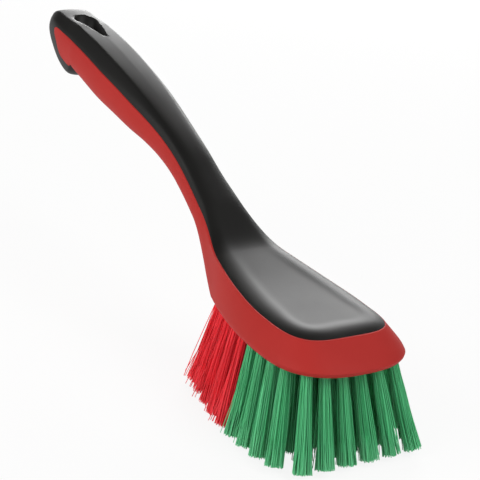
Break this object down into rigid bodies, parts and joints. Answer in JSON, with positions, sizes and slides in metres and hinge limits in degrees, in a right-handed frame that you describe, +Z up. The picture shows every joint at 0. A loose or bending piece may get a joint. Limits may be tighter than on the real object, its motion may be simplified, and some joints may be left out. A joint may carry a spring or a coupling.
{
  "type": "hand brush",
  "caption": "Arched washing-up and scrubbing hand brush with a soft grip over a hard core, a fanned head of crimson and green bristles, and a hanging hole.",
  "frame": {"origin": "centre of the brush's length and width, on the surface that its trimmed bristle tips touch", "axes": "+X from the handle's end towards the front of the head, +Z up from the bristle tips to the grip, +Y across the brush to its left when it is seen from behind"},
  "size_m": [0.3094, 0.0872, 0.1392],
  "materials": {
    "red_plastic": "satin",
    "black_grip": "matte",
    "crimson_bristle": "satin",
    "green_bristle": "satin"
  },
  "bodies": {
    "root": {"block_core": "red_plastic", "soft_grip": "black_grip", "crimson_tuft_01": "crimson_bristle", "crimson_tuft_02": "crimson_bristle", "crimson_tuft_03": "crimson_bristle", "crimson_tuft_04": "crimson_bristle", "crimson_tuft_05": "crimson_bristle", "crimson_tuft_06": "crimson_bristle", "crimson_tuft_07": "crimson_bristle", "crimson_tuft_08": "crimson_bristle", "crimson_tuft_09": "crimson_bristle", "crimson_tuft_10": "crimson_bristle", "crimson_tuft_11": "crimson_bristle", "crimson_tuft_12": "crimson_bristle", "crimson_tuft_13": "crimson_bristle", "crimson_tuft_14": "crimson_bristle", "crimson_tuft_15": "crimson_bristle", "crimson_tuft_16": "crimson_bristle", "crimson_tuft_17": "crimson_bristle", "crimson_tuft_18": "crimson_bristle", "crimson_tuft_19": "crimson_bristle", "crimson_tuft_20": "crimson_bristle", "crimson_tuft_21": "crimson_bristle", "crimson_tuft_22": "crimson_bristle", "crimson_tuft_23": "crimson_bristle", "crimson_tuft_24": "crimson_bristle", "green_tuft_01": "green_bristle", "green_tuft_02": "green_bristle", "green_tuft_03": "green_bristle", "green_tuft_04": "green_bristle", "green_tuft_05": "green_bristle", "green_tuft_06": "green_bristle", "green_tuft_07": "green_bristle", "green_tuft_08": "green_bristle", "green_tuft_09": "green_bristle", "green_tuft_10": "green_bristle", "green_tuft_11": "green_bristle", "green_tuft_12": "green_bristle", "green_tuft_13": "green_bristle", "green_tuft_14": "green_bristle", "green_tuft_15": "green_bristle", "green_tuft_16": "green_bristle", "green_tuft_17": "green_bristle", "green_tuft_18": "green_bristle", "green_tuft_19": "green_bristle", "green_tuft_20": "green_bristle", "green_tuft_21": "green_bristle", "green_tuft_22": "green_bristle", "green_tuft_23": "green_bristle", "green_tuft_24": "green_bristle", "green_tuft_25": "green_bristle", "green_tuft_26": "green_bristle", "green_tuft_27": "green_bristle", "green_tuft_28": "green_bristle", "green_tuft_29": "green_bristle", "green_tuft_30": "green_bristle"}
  },
  "joints": []
}
